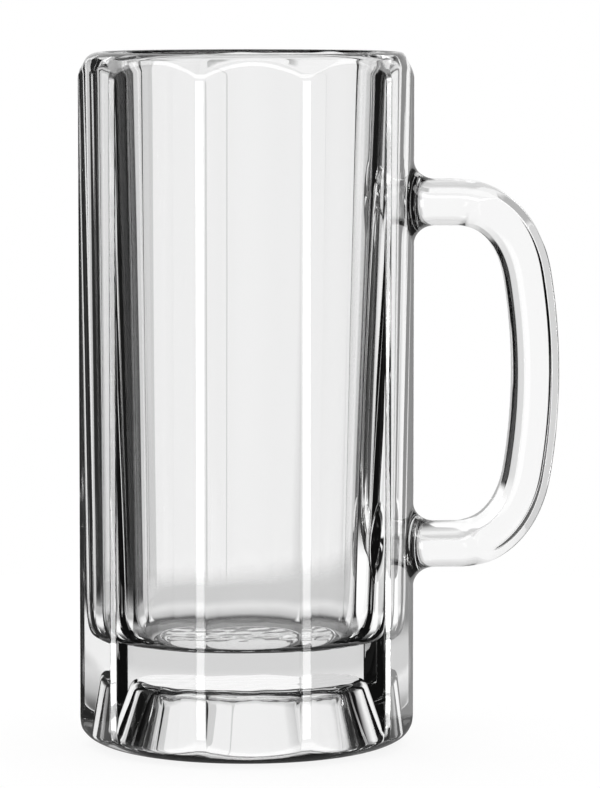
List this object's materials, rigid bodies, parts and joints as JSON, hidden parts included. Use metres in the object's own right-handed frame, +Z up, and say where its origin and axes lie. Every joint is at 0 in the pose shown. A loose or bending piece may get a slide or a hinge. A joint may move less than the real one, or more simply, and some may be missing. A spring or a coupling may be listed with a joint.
{
  "type": "paneled glass mug",
  "caption": "Tall heavy glass mug with flat upright panels, a thick recessed foot and a solid loop handle fused on at two flared collars.",
  "frame": {"origin": "bottom centre of the whole mug's bounding box, on the table plane; the vessel's own axis is 18.6 mm to -X of it", "axes": "+Z up along the vessel, +X towards the handle, +Y across the handle"},
  "size_m": [0.1233, 0.0824, 0.178],
  "materials": {
    "clear_glass": "polished"
  },
  "bodies": {
    "root": {"mug_body": "clear_glass", "handle": "clear_glass", "upper_handle_weld": "clear_glass", "lower_handle_weld": "clear_glass"}
  },
  "joints": []
}
